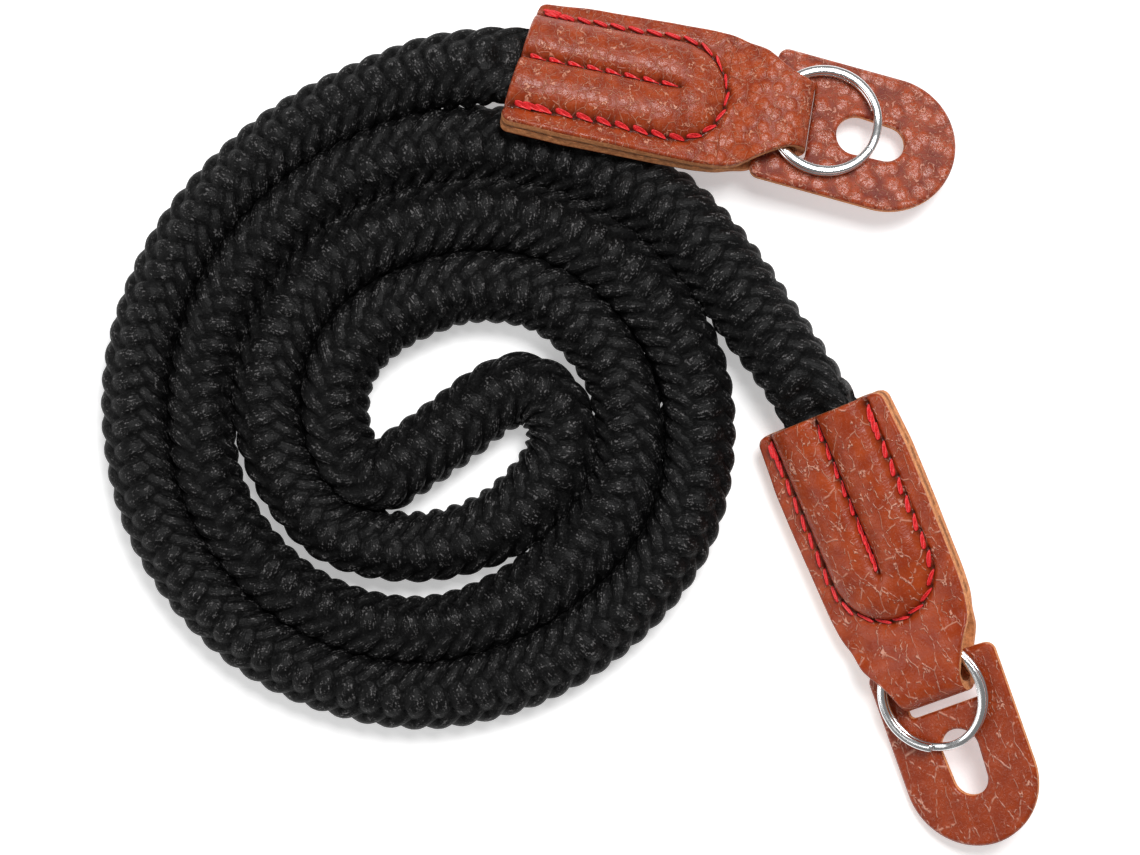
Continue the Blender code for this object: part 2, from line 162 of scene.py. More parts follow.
# How each end lies, seen from mouth to fold: roll lifts its left side, and skew sets its left corner in
ENDS = {
    "a": {
        "mouth": (-8.7, 61.6),
        "mouth_skew": 0.14,
        "fold": (41.2, 52.7),
        # from the mouth, height of the tab's middle, roll
        "lie": ((0, 9.8, -27), (15, 8.8, -26), (35, 7.4, -18), (52, 6.6, -14)),
        "ring_ahead": 2.5,
        "ring_aside": 0.0,
        "guard_behind": 8.0,
        "guard_aside": -0.2,
        "guard_yaw": -5.4,
        "slit_front": 8.2,
        "centre_tacks": 0,
    },
    "b": {
        "mouth": (43.0, 2.2),
        "mouth_skew": 0.0,
        "fold": (63.5, -46.8),
        "lie": ((0, 8.55, 27), (15, 8.55, 27), (35, 8.55, 27), (52, 8.55, 27)),
        "ring_ahead": -1.1,
        "ring_aside": -0.7,
        "guard_behind": 7.2,
        "guard_aside": 0.0,
        "guard_yaw": -3.5,
        "slit_front": 9.0,
        "centre_tacks": 2,
    },
}
TAB_LENGTH = 52.0
LAYER_GAP = 0.15
SEAM_HALF_WIDTH = 9.3
SEAM_END = 36.5
SEAM_ROUND = 9.0
CENTRE_SEAM = (26.0, 31.0)
CENTRE_PINCH = 0.7
POCKET_HEIGHT = ((0, 3.5), (4, 3.2), (9, 3.0), (28, 2.9), (33, 2.4), (36.5, 1.0))
LOBE_FULLNESS = 0.6
EYE_START, EYE_FULL = 34.5, 44.5
EYE_HALF_HEIGHT = 2.7
SHOULDER_CLOSED = (38.6, 43.2)
SHOULDER = (6.0, 10.5)
ROPE_END_WIDTH = ((0, 6.7), (5, 7.9), (10, 8.5), (28, 8.5), (31.5, 7.4))
ROPE_END = 29.0
ROPE_CLEARANCE = 0.85
ROPE_END_THINNEST = 0.25
FLATTENING = 10.0
CURVE_STEPS = 24
# The braid: strands of each hand, length of rope that one float takes, and the relief of the strands
STRANDS = 6
FLOAT_PITCH = 3.85
STEPS_PER_FLOAT = 8
ROPE_SIDES = 9 * STRANDS
LEAN = 0.5
STRAND_RISE = 0.8
STRAND_THICKNESS = 1.25
STRAND_HALF_WIDTH = 0.53
STRAND_LENGTH = 3.6
STRAND_WIDTH = 1.7
CREST_ABOVE = 0.42
DEEPEST = 1.6
OVER_POWER = 1.15
SQUEEZED = 0.6
SQUEEZE_IN = 0.3
GROOVE_SHADE = (-0.95, -0.3)
TABLE_CLEARANCE = 0.05
HIDDEN_STEP = 1.0
FIBRE_SHAPE = (0.75, 3.4, 1.0)
TUFT_SCALE = 800.0
SPECK_SCALE = 2900.0


def smoothstep(low, high, value):
    """A soft step from 0 to 1 between two limits."""
    share = np.clip((value - low) / (high - low), 0, 1)
    return share * share * (3 - 2 * share)


def column(table, value):
    """A table's second column, read in a straight line between its rows."""
    rows = np.array(table, float)
    return np.interp(value, rows[:, 0], rows[:, 1])


def cubic_column(table, value, index):
    """A four-row table's column, read along the one cubic through its rows."""
    rows = np.array(table, float)
    return np.polyval(np.polyfit(rows[:, 0], rows[:, index], 3), value)


def unit(vectors):
    """The same directions, each of length 1."""
    return vectors / np.linalg.norm(vectors, axis=-1, keepdims=True)


def end_frame(end, from_mouth):
    """A 4 x 4 matrix at a distance from the tab's mouth: ahead, left and up, and the tab's middle there."""
    mouth, fold = np.array(end["mouth"]) - STRAP_MIDDLE, np.array(end["fold"]) - STRAP_MIDDLE
    plan = (fold - mouth) / TAB_LENGTH

    def middle(s):
        return np.array((*(mouth + plan * s), cubic_column(end["lie"], max(s, 0.0), 1)))

    ahead = unit(middle(from_mouth + 0.5) - middle(from_mouth - 0.5))
    level = unit(np.cross((0, 0, 1), ahead))
    roll = math.radians(cubic_column(end["lie"], max(from_mouth, 0.0), 2))
    left = level * math.cos(roll) + np.cross(ahead, level) * math.sin(roll)
    matrix = np.eye(4)
    matrix[:3] = np.column_stack([ahead, left, np.cross(ahead, left), middle(from_mouth)])
    return matrix


def half_gap(s, t):
    """Half the space between the tab's two layers: two lobes round the rope's end, then the eye."""
    into_round = np.clip((s - (SEAM_END - SEAM_ROUND)) / SEAM_ROUND, 0, 1)
    inside = SEAM_HALF_WIDTH * np.sqrt(1 - into_round**2)
    across = np.minimum(np.abs(t) / np.maximum(inside, 1e-6), 1)
    one_lobe = (1 - across**2) ** LOBE_FULLNESS
    two_lobes = (1 - (2 * across - 1) ** 2) ** LOBE_FULLNESS
    pinch = CENTRE_PINCH * (1 - smoothstep(*CENTRE_SEAM, s))
    pocket = column(POCKET_HEIGHT, s) * ((1 - pinch) * one_lobe + pinch * two_lobes)
    shoulder = (1 - smoothstep(*SHOULDER_CLOSED, s)) * smoothstep(*SHOULDER, np.abs(t))
    eye = (EYE_HALF_HEIGHT - LAYER_GAP) * smoothstep(EYE_START, EYE_FULL, s) * (1 - shoulder)
    return LAYER_GAP + np.maximum(np.where(s < SEAM_END, pocket, 0), eye)


def along_cubic(points, before, after):
    """Fine points along the centripetal Catmull-Rom curve through the points, with one more at each end."""
    points = np.array([before, *points, after], float)
    fine = []
    for p0, p1, p2, p3 in zip(points, points[1:], points[2:], points[3:]):
        t1 = math.sqrt(np.linalg.norm(p1 - p0))
        t2 = t1 + math.sqrt(np.linalg.norm(p2 - p1))
        t3 = t2 + math.sqrt(np.linalg.norm(p3 - p2))
        t = np.linspace(t1, t2, CURVE_STEPS, endpoint=False)[:, None]
        a1 = ((t1 - t) * p0 + t * p1) / t1
        a2 = ((t2 - t) * p1 + (t - t1) * p2) / (t2 - t1)
        a3 = ((t3 - t) * p2 + (t - t2) * p3) / (t3 - t2)
        b1 = ((t2 - t) * a1 + t * a2) / t2
        b2 = ((t3 - t) * a2 + (t - t1) * a3) / (t3 - t1)
        fine.append(((t2 - t) * b1 + (t - t1) * b2) / (t2 - t1))
    return np.vstack([*fine, points[-2:-1]])


def rope_route():
    """Even places along the rope's middle from tab b to tab a, their distances and the rope's half widths."""
    centre = COIL_CENTRE - STRAP_MIDDLE
    low = ROPE_HEIGHT / 2
    arms = {}
    for arm, columns in {"b": (1, 3), "a": (2, 4)}.items():
        rows = [(row[0], row[layer]) for layer in columns for row in LAYERS if row[layer] is not None]
        arms[arm] = [(centre[0] + out * math.cos(math.radians(bearing)),
                      centre[1] + out * math.sin(math.radians(bearing)), low) for bearing, out in rows]
    fold = [(*(centre + point), low) for point in np.array(S_FOLD)]
    tails = [[(*(np.array((x, y)) - STRAP_MIDDLE), level) for x, y, level in tail]
             for tail in (TAIL_B, TAIL_A)]
    mouths = [end_frame(ENDS[name], 0)[:3, 3] for name in "ba"]
    inside = [end_frame(ENDS[name], FLATTENING)[:3, 3] for name in "ba"]
    points = [mouths[0], *tails[0][::-1], *arms["b"][::-1], *fold, *arms["a"], *tails[1], mouths[1]]
    fine = along_cubic(points, inside[0], inside[1])
    fine[:, 2] = np.maximum(fine[:, 2], low)
    along = np.concatenate([[0], np.cumsum(np.linalg.norm(np.diff(fine, axis=0), axis=1))])
    floats = round(along[-1] / FLOAT_PITCH)
    distances = np.linspace(0, along[-1], floats * STEPS_PER_FLOAT + 1)
    route = np.column_stack([np.interp(distances, along, fine[:, axis]) for axis in range(3)])
    for _ in range(3):
        route[1:-1] = (route[:-2] + route[1:-1] * 2 + route[2:]) / 4
    ahead = np.gradient(route, axis=0)
    away = fine[None] - route[:, None]
    on_left = ahead[:, None, 0] * away[..., 1] > ahead[:, None, 1] * away[..., 0]
    apart = np.linalg.norm(away, axis=2)
    apart[np.abs(distances[:, None] - along[None]) < OTHER_TURN] = np.inf
    halves = []
    for side, table_column in ((on_left, 1), (~on_left, 2)):
        nearest = np.where(side, apart, np.inf).min(axis=1)
        wanted = np.interp(distances, *np.array(HALF_WIDTHS, float)[:, [0, table_column]].T)
        halves.append(np.minimum(wanted, (nearest + TURN_PRESS) / 2))
    return route, distances, np.column_stack(halves)


def braid(along, around):
    """How far a place on the rope lies below the strands' crests, and where it is on its strand.

    Distances along are in floats, and around in strands of one hand. Each strand goes over two and under two,
    and the rope's lay makes the strands of one hand lean more than those of the other.
    """
    found = []
    along = along + LEAN * around
    for hand in (1, -1):
        across, ahead = around + hand * along, around - hand * along
        strand = np.round(across)
        wave = hand * np.cos(math.pi / 2 * (ahead + strand - 0.5))
        over = np.sign(wave) * np.abs(wave) ** OVER_POWER
        off = (across - strand) / STRAND_HALF_WIDTH
        height = STRAND_RISE * over + STRAND_THICKNESS * np.sqrt(1 - off**2)
        found.append((height, off, ahead, strand % STRANDS + STRANDS * (hand < 0)))
    upper = found[0][0] >= found[1][0]
    height, off, ahead, strand = (np.where(upper, a, b) for a, b in zip(*found))
    return height - STRAND_RISE - STRAND_THICKNESS, off, ahead, strand


def rope_rings():
    """Each ring's middle, side and up directions, blend, place in the tab, half widths and distance along."""
    route, distances, halves = rope_route()
    tangents = np.gradient(route, axis=0)
    level = unit(np.cross((0, 0, 1), tangents))
    up = unit(np.cross(tangents, level))
    blend = 1 - smoothstep(0, FLATTENING, np.minimum(distances, distances[-1] - distances))[:, None]
    first_half = (distances < distances[-1] / 2)[:, None]
    mouth = {name: end_frame(end, 0) for name, end in ENDS.items()}
    mouth_side = np.where(first_half, -mouth["b"][:3, 1], mouth["a"][:3, 1])
    mouth_up = np.where(first_half, mouth["b"][:3, 2], mouth["a"][:3, 2])
    side = unit(level * (1 - blend) + mouth_side * blend)
    up = unit(up * (1 - blend) + mouth_up * blend)
    hidden = np.arange(HIDDEN_STEP, ROPE_END + 0.01, HIDDEN_STEP)
    into_b = np.array([end_frame(ENDS["b"], s)[:3] for s in hidden[::-1]])
    into_a = np.array([end_frame(ENDS["a"], s)[:3] for s in hidden])
    middles = np.vstack([into_b[..., 3], route, into_a[..., 3]])
    sides = np.vstack([-into_b[..., 1], side, into_a[..., 1]])
    ups = np.vstack([into_b[..., 2], up, into_a[..., 2]])
    ones, still = np.ones(len(hidden)), np.zeros(len(route))
    blends = np.concatenate([ones, blend[:, 0], ones])
    places = np.concatenate([hidden[::-1], still, hidden])
    halves = np.vstack([np.tile(halves[0], (len(hidden), 1)), halves, np.tile(halves[-1], (len(hidden), 1))])
    along = np.concatenate([-hidden[::-1], distances, distances[-1] + hidden])
    return middles, sides, ups, blends[:, None], places[:, None], halves, along[:, None]


def add_node(tree, kind, sockets):
    """A shader node whose named sockets follow an output or hold a value."""
    node = tree.nodes.new("ShaderNode" + kind)
    for name, value in sockets.items():
        if isinstance(value, bpy.types.NodeSocket):
            tree.links.new(value, node.inputs[name])
        else:
            node.inputs[name].default_value = value
    return node


def kept(tree, name):
    """What a mesh keeps at its points under a name, as an attribute node's outputs."""
    node = tree.nodes.new("ShaderNodeAttribute")
    node.attribute_name = name
    return node.outputs


def noise(tree, place, scale, detail=2.0, roughness=0.5, output="Fac"):
    """An uneven value or colour that changes slowly from place to place."""
    sockets = {"Vector": place, "Scale": scale, "Detail": detail, "Roughness": roughness}
    return add_node(tree, "TexNoise", sockets).outputs[output]


def ramp(tree, value, low, high, start=0.0, stop=1.0, kind="SMOOTHSTEP"):
    """A step from one value to another between two limits."""
    sockets = {"Value": value, "From Min": low, "From Max": high, "To Min": start, "To Max": stop}
    node = add_node(tree, "MapRange", sockets)
    node.interpolation_type = kind
    return node.outputs["Result"]


def dyed(tree, value, *stops):
    """The colour that a value has between stops, each a value and its colour, from low to high."""
    node = add_node(tree, "ValToRGB", {"Fac": value})
    elements = node.color_ramp.elements
    for position, _ in stops[1:-1]:
        elements.new(position)
    for element, (position, colour) in zip(elements, stops):
        element.position = position
        element.color = (*colour, 1)
    return node.outputs["Color"]


def mixed(tree, share, first, second):
    """A colour between two others, each an output or a triple."""
    node = tree.nodes.new("ShaderNodeMix")
    node.data_type = "RGBA"
    for name, value in (("Factor", share), ("A", first), ("B", second)):
        if isinstance(value, bpy.types.NodeSocket):
            tree.links.new(value, node.inputs[name])
        else:
            node.inputs[name].default_value = (*value, 1)
    return node.outputs["Result"]


def math_node(tree, operation, *values):
    """One arithmetic node, fed by outputs or numbers."""
    node = tree.nodes.new("ShaderNodeMath")
    node.operation = operation
    for socket, value in zip(node.inputs, values):
        if isinstance(value, bpy.types.NodeSocket):
            tree.links.new(value, socket)
        else:
            socket.default_value = value
    return node.outputs[0]


def times(tree, first, *others):
    """The product of several values, each an output or a number."""
    for other in others:
        first = math_node(tree, "MULTIPLY", first, other)
    return first


def embossed(tree, shader, height, strength, distance):
    """Fine relief that only the light feels."""
    bump = add_node(tree, "Bump", {"Height": height, "Strength": strength, "Distance": distance})
    tree.links.new(bump.outputs["Normal"], shader.inputs["Normal"])


def on_object(tree):
    """The places on the piece itself, in metres."""
    return tree.nodes.new("ShaderNodeTexCoord").outputs["Object"]


def rope_finish():
    """Matt black yarn, with the fine lighter fibres that lie along each strand.

    Their brightest flecks are partly painted glints, and the grooves between the strands carry painted shade.
    """
    material, tree, shader = new_finish("black_yarn", (0.006, 0.006, 0.0065), 0.5)
    shader.inputs["Specular IOR Level"].default_value = 0.16
    place = on_object(tree)
    lengthwise = add_node(tree, "Mapping", {"Vector": kept(tree, "strand")["Vector"], "Scale": FIBRE_SHAPE})
    fibres = noise(tree, lengthwise.outputs["Vector"], 1.0, 2.5, 0.6)
    tufts = ramp(tree, noise(tree, place, TUFT_SCALE, 1.0), 0.4, 0.62, 0.84, 1.1, "LINEAR")
    # The yarn's brightest flecks are partly lighter fibres and partly painted glints
    yarn = times(tree, fibres, noise(tree, place, SPECK_SCALE), tufts)
    colour = dyed(tree, yarn, (0.2, (0.0016, 0.0016, 0.0017)), (0.29, (0.0052, 0.0051, 0.0052)),
                  (0.42, (0.13, 0.126, 0.126)))
    # Painted shade: the grooves between the strands are darkened towards black
    shaded = mixed(tree, kept(tree, "rope_groove_shade")["Fac"], (0.0008, 0.0008, 0.0009), colour)
    tree.links.new(shaded, shader.inputs["Base Color"])
    embossed(tree, shader, yarn, 0.8, 0.0003)
    return material


def keep_value(obj, name, values):
    """Keeps one number for each of a mesh's points, for its material to read."""
    attribute = obj.data.attributes.new(name, "FLOAT", "POINT")
    attribute.data.foreach_set("value", np.asarray(values, np.float32).ravel())


def skin(rings, sides):
    """The quads that join rings of points, each ring to the next."""
    ring, k = np.arange(rings - 1)[:, None] * sides, np.arange(sides)[None]
    after = (k + 1) % sides
    return np.stack([ring + k, ring + after, ring + sides + after, ring + sides + k], -1).reshape(-1, 4)


def make_rope():
    """The rope's skin, ring by ring: flattened inside the tabs, braided between them."""
    middles, sides, ups, blends, places, halves, along = rope_rings()
    angle = 2 * math.pi * np.arange(ROPE_SIDES)[None] / ROPE_SIDES
    end_width = column(ROPE_END_WIDTH, places)
    across = end_width * np.cos(angle)
    thick = np.maximum(half_gap(places, across) - ROPE_CLEARANCE, ROPE_END_THINNEST)
    flat_up = thick * np.sign(np.round(np.sin(angle), 6))
    half = np.where(np.cos(angle) > 0, halves[:, :1], halves[:, 1:])
    side = half * np.cos(angle) * (1 - blends) + across * blends
    up = ROPE_HEIGHT / 2 * np.sin(angle) * (1 - blends) + flat_up * blends
    ahead_side, ahead_up = (np.roll(x, -1, 1) - np.roll(x, 1, 1) for x in (side, up))
    length = np.maximum(np.hypot(ahead_side, ahead_up), 1e-9)
    out_side, out_up = ahead_up / length, -ahead_side / length
    below, off, ahead, strand = braid(along / FLOAT_PITCH, angle / (2 * math.pi) * STRANDS)
    relief = (np.maximum(below, -DEEPEST) + CREST_ABOVE) * (1 - SQUEEZED * blends) - SQUEEZE_IN * blends
    side, up = side + out_side * relief, up + out_up * relief
    points = middles[:, None] + sides[:, None] * side[..., None] + ups[:, None] * up[..., None]
    points[..., 2] = np.maximum(points[..., 2], TABLE_CLEARANCE)
    corners = skin(len(middles), ROPE_SIDES)
    height = below.ravel()[corners]
    first = np.abs(height[:, 0] - height[:, 2]) < np.abs(height[:, 1] - height[:, 3])
    faces = np.vstack([corners[first][:, [0, 1, 2]], corners[first][:, [0, 2, 3]],
                       corners[~first][:, [0, 1, 3]], corners[~first][:, [1, 2, 3]]]).tolist()
    last = len(middles) * ROPE_SIDES
    faces += [tuple(range(ROPE_SIDES))[::-1], tuple(range(last - ROPE_SIDES, last))]
    rope = add_mesh("braid", points.reshape(-1, 3), faces, [rope_finish()])
    # Painted shade in the grooves between the strands, full where they lie deepest below the crests
    keep_value(rope, "rope_groove_shade", smoothstep(*GROOVE_SHADE, below))
    on_strand = np.stack([ahead * STRAND_LENGTH, off * STRAND_WIDTH, strand * 7.0], -1).reshape(-1, 3)
    lay = rope.data.attributes.new("strand", "FLOAT_VECTOR", "POINT")
    lay.data.foreach_set("vector", on_strand.ravel().astype(np.float32))
    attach(rope, "strap")
    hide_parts("braided_rope")
    mouth = end_frame(ENDS["b"], 0)[:3, 3]


make_rope()

# Leather tabs
# Each tab is one strip of pebbled tan cowhide, folded in two round the ring and the guard. Its two layers are
# sewn together down both sides of the rope's end and round it, and once more down its middle. The cut edges
# stay raw.
LEATHER = 2.1
SKIVED = 1.6
SKIVED_FROM = (35.5, 42.0)
SKEW_REACH = 16.0
TAB_OUTLINE = (
    # from the mouth, half width
    (0, 12.2), (10, 12.9), (20, 12.8), (33, 12.5), (37, 12.1), (41, 10.9), (44, 9.1), (46.5, 7.5),
    (48.5, 6.5), (50.5, 6.1), (52, 5.9),
)
FOLD_SQUARENESS = 2.4
FOLD_FROM = 47.8
ROW_STEP = 0.3
FOLD_ROWS = 26
TAB_COLUMNS = 87
COLUMNS_TO_EDGE = 0.85
# Painted shade in the seams' grooves and the needle's holes, and the most it may darken
PAINTED_GROOVE_SHADE = 0.5
PAINTED_HOLE_SHADE = 0.7
DARKEST_PAINTED_SHADE = 0.85
JOINT_DARK = 0.35
INSIDE_DARK = 0.8
EDGE_POINTS = 4
EDGE_ROUND = 0.55
GROOVE_DEPTH = 0.55
GROOVE_WIDTH = 0.62
UNEVEN = 0.07
HOLE_DEPTH = 0.35
HOLE_WIDTH = 0.42
MOUTH_CORNER = 1.6
CREASE_WIDTH = 0.13
FINE_FOLD = 2.1
TINY_FOLD = 0.55
SKIN_ROUGH = 0.45
POLISHED = 0.27
PEBBLE_BEND = (0.9, 0.5)
FOLD_BEND = (0.8, 1.6)
PEBBLE_DISORDER = 0.85
# How far the creases pale: partly real, partly painted highlight
CREASE_PALE = 0.55
NECK_GRAIN = (33.0, 40.0)
# The colour of the painted shade in the seams' grooves and holes
PAINTED_SEAM_SHADE = (0.03, 0.006, 0.004)
# Spots on the skin: how many to a millimetre, and where they begin and are full.
# The first spots hold the painted glints, and the last the painted highlight on top of the pebbles.
GLINTING = (1.5, 0.44, 0.62)
BROKEN = (0.9, 0.42, 0.56)
GAPS = (2.1, 0.36, 0.5)
HIGHLIGHT_PATCHES = (2.6, 0.42, 0.6)
CLUMP_SCALE, CLUMP_FROM, CLUMP_FULL = 0.33, 0.66, 0.74


def smooth_outline(s):
    """The tab's half width, with the outline's corners eased and the mouth's rounded off."""
    eased = sum(column(TAB_OUTLINE, s + shift) for shift in (-1.2, -0.6, 0, 0.6, 1.2)) / 5
    into = np.clip(MOUTH_CORNER - s, 0, MOUTH_CORNER)
    return eased - MOUTH_CORNER + np.sqrt(MOUTH_CORNER**2 - into**2)


STITCH_PITCH = 3.3
SEAM_FROM = 1.2
CENTRE_END = 28.0


def seam_lines():
    """The seams from hole to hole as points along and across the tab: the U, then the middle one."""
    turn = SEAM_END - SEAM_ROUND
    straight = turn - SEAM_FROM
    whole = 2 * straight + math.pi * SEAM_HALF_WIDTH
    u_seam = []
    for at in np.linspace(0, whole, round(whole / STITCH_PITCH) + 1):
        if at <= straight:
            u_seam.append((SEAM_FROM + at, SEAM_HALF_WIDTH))
        elif at >= whole - straight:
            u_seam.append((SEAM_FROM + whole - at, -SEAM_HALF_WIDTH))
        else:
            bearing = (at - straight) / SEAM_HALF_WIDTH
            u_seam.append((turn + SEAM_HALF_WIDTH * math.sin(bearing), SEAM_HALF_WIDTH * math.cos(bearing)))
    holes = round((CENTRE_END - SEAM_FROM) / STITCH_PITCH) + 1
    centre = [(at, 0.0) for at in np.linspace(SEAM_FROM, CENTRE_END, holes)]
    return u_seam, centre


def off_seam(s, t):
    """How far a place is from the U seam and from the seam down the middle."""
    turn = SEAM_END - SEAM_ROUND
    out = np.where(s < turn, np.abs(t), np.hypot(s - turn, t))
    return np.abs(out - SEAM_HALF_WIDTH), np.hypot(t, np.maximum(s - CENTRE_END, 0))


def ripple(x, y, seed):
    """A gentle unevenness from -1 to 1, with waves from about 3 to 15 mm long."""
    waves = ((0.42, 0.11, 0.5), (-0.23, 0.51, 0.4), (0.9, 0.75, 0.25), (1.1, -0.8, 0.22), (0.35, 1.35, 0.18),
             (1.9, 0.6, 0.1), (-0.8, 1.9, 0.1))
    total = sum(size * np.sin(a * x + b * y + seed * (k + 1) * 2.3) for k, (a, b, size) in enumerate(waves))
    return total / 1.3


def edge_drop(from_edge, radius):
    """How far a rounded edge falls away, by the distance from it."""
    share = np.clip(from_edge / radius, 0, 1)
    return radius * (1 - np.sqrt(1 - (1 - share) ** 2))


HOLES = np.array([hole for seam in seam_lines() for hole in seam])


def sunk(s, t):
    """How deep the seams and the needle's holes draw the leather in, from 0 to 1 each."""
    u_seam, centre = off_seam(s, t)
    groove = np.exp(-((u_seam / GROOVE_WIDTH) ** 2)) + np.exp(-((centre / GROOVE_WIDTH) ** 2))
    t = np.atleast_1d(t)
    apart = np.hypot(HOLES[:, 0] - s, HOLES[:, 1] - t[:, None]).min(axis=1)
    return np.minimum(groove, 1), np.exp(-((apart / HOLE_WIDTH) ** 2))


def leather_level(s, t, seed):
    """How far the tab's outer face lies from its middle."""
    half_width = smooth_outline(s)
    thick = LEATHER + (SKIVED - LEATHER) * smoothstep(*SKIVED_FROM, s)
    groove, _ = sunk(s, t)
    edge = edge_drop(np.minimum(half_width - np.abs(t), s), EDGE_ROUND)
    return half_gap(s, t) + thick - GROOVE_DEPTH * groove - edge + UNEVEN * ripple(s, t, seed)


def shifted(tree, place, amount, scale):
    """The places pushed about by a slow noise, so that a pattern laid on them bends."""
    node = tree.nodes.new("ShaderNodeVectorMath")
    node.operation = "MULTIPLY_ADD"
    node.inputs[1].default_value = (amount, amount, 0.0)
    tree.links.new(noise(tree, place, scale, output="Color"), node.inputs[0])
    tree.links.new(place, node.inputs[2])
    return node.outputs[0]


def drawn_out(tree, place, size, stretch):
    """The places in units of a size in millimetres, drawn out along the strip."""
    scale = (1 / (size * stretch), 1 / size, 1.0)
    return add_node(tree, "Mapping", {"Vector": place, "Scale": scale}).outputs["Vector"]


def wrinkles(tree, place, size, stretch, width):
    """Thin curving lines, where a noise passes its middle level."""
    level = noise(tree, drawn_out(tree, place, size, stretch), 1.0, 1.5)
    off = math_node(tree, "ABSOLUTE", math_node(tree, "SUBTRACT", level, 0.5))
    return ramp(tree, off, width * 0.25, width, 1.0, 0.0)


def spots(tree, place, scale, low, high, detail=2.0, strength=1.0):
    """Soft-edged spots, where a noise is high."""
    return ramp(tree, noise(tree, place, scale, detail), low, high, 0.0, strength)


def cells(tree, place, size, stretch=1.0, feature="DISTANCE_TO_EDGE", disorder=1.0):
    """Voronoi cells of a size in millimetres, drawn out along the strip."""
    node = tree.nodes.new("ShaderNodeTexVoronoi")
    node.feature = feature
    node.voronoi_dimensions = "2D"
    node.inputs["Scale"].default_value = 1.0
    node.inputs["Randomness"].default_value = disorder
    tree.links.new(drawn_out(tree, place, size, stretch), node.inputs["Vector"])
    return node.outputs["Distance"]


def grain_finish(name, deep, rich, pale_crease_and_highlight, pebble, dome, neck_dome, crackle, crinkled, stretch, shine, top_highlight,
                 reach, painted_glint, dull):
    """Glossy pebbled leather, darker between the pebbles, with pale fine creases that break up the shine.
    The creases' paleness is partly real and partly painted highlight, and the tone changes at random.

    Pebble is the grain's size in millimetres, dome how high it stands and neck_dome how high near the fold.
    Crackle is how strong the creases between pebbles are, crinkled how much of the skin has finer ones, and
    stretch how long they run along the strip. Tops is how bright the painted highlight on top of the pebbles
    is, reach where each pebble falls away and ends, and glitter how bright the painted glints on the skin's
    smallest wrinkles are. Dull is how rough the skin is between the pebbles.
    """
    material, tree, shader = new_finish(name, deep, POLISHED)
    shader.inputs["Specular IOR Level"].default_value = shine
    lay = tree.nodes.new("ShaderNodeUVMap")
    lay.uv_map = "lay"
    place = lay.outputs["UV"]
    along = add_node(tree, "SeparateXYZ", {"Vector": place}).outputs["X"]
    high = ramp(tree, along, *NECK_GRAIN, dome, neck_dome)
    bent = shifted(tree, place, *PEBBLE_BEND)
    swell = ramp(tree, cells(tree, bent, pebble, feature="F1", disorder=PEBBLE_DISORDER), *reach)
    border = ramp(tree, cells(tree, bent, pebble, stretch), 0.0, CREASE_WIDTH / pebble, 1.0, 0.0)
    finer = wrinkles(tree, shifted(tree, place, *FOLD_BEND), FINE_FOLD, stretch, 0.03)
    # Painted glints: bright lines on the skin's smallest wrinkles, in spots
    glints = times(tree, wrinkles(tree, place, TINY_FOLD, 1.0, 0.06),
                   spots(tree, place, *GLINTING, strength=painted_glint))
    clumps = spots(tree, place, CLUMP_SCALE, CLUMP_FROM - crinkled, CLUMP_FULL - crinkled)
    broken = spots(tree, place, *BROKEN, detail=1.0)
    gaps = spots(tree, place, *GAPS, detail=0.0)
    # Creases and wrinkles, raised in the relief and paled in the colour: partly real, partly painted highlight
    creases_and_glints = math_node(tree, "MAXIMUM", times(tree, border, broken, crackle), times(tree, finer, clumps, gaps))
    creases_and_glints = math_node(tree, "MAXIMUM", creases_and_glints, glints)
    domed = math_node(tree, "MULTIPLY_ADD", swell, high, creases_and_glints)
    height = math_node(tree, "MULTIPLY_ADD", noise(tree, place, 2.4, 3.0), SKIN_ROUGH, domed)
    embossed(tree, shader, height, 1.0, 0.00016)
    tree.links.new(ramp(tree, swell, 0.2, 0.8, dull, POLISHED), shader.inputs["Roughness"])
    tone = math_node(tree, "MULTIPLY_ADD", times(tree, swell, high), 0.25, noise(tree, place, 0.25, 3.0))
    body = mixed(tree, ramp(tree, tone, 0.3, 0.8), deep, rich)
    # Painted highlight: the pebbles are paled on top, in patches
    highlight_patches = spots(tree, place, *HIGHLIGHT_PATCHES, detail=3.0)
    painted_top_highlight = times(tree, math_node(tree, "POWER", swell, 1.6), highlight_patches, high, top_highlight)
    # The pale share: partly real paler creases, and partly painted highlight and glints
    pale = math_node(tree, "MAXIMUM", times(tree, creases_and_glints, CREASE_PALE), painted_top_highlight)
    worn_and_highlighted = mixed(tree, pale, body, pale_crease_and_highlight)
    # Painted shade darkens the seams' grooves and the needle's holes
    shaded = mixed(tree, kept(tree, "seam_shade_and_joint")["Fac"], worn_and_highlighted, PAINTED_SEAM_SHADE)
    tree.links.new(shaded, shader.inputs["Base Color"])
    return material


def raw_finish():
    """The cut edge and the flesh side: pale, dry and fuzzy, with a ragged dark joint between the layers."""
    material, tree, shader = new_finish("raw_leather", (0.42, 0.17, 0.07), 0.9)
    place = on_object(tree)
    fuzz = noise(tree, place, 1400.0, 4.0, 0.7)
    colour = dyed(tree, fuzz, (0.3, (0.42, 0.13, 0.04)), (0.62, (0.8, 0.33, 0.13)))
    joint = times(tree, kept(tree, "seam_shade_and_joint")["Fac"], spots(tree, place, 700.0, 0.36, 0.52))
    tree.links.new(mixed(tree, joint, colour, (0.04, 0.012, 0.005)), shader.inputs["Base Color"])
    embossed(tree, shader, fuzz, 0.7, 0.0002)
    return material


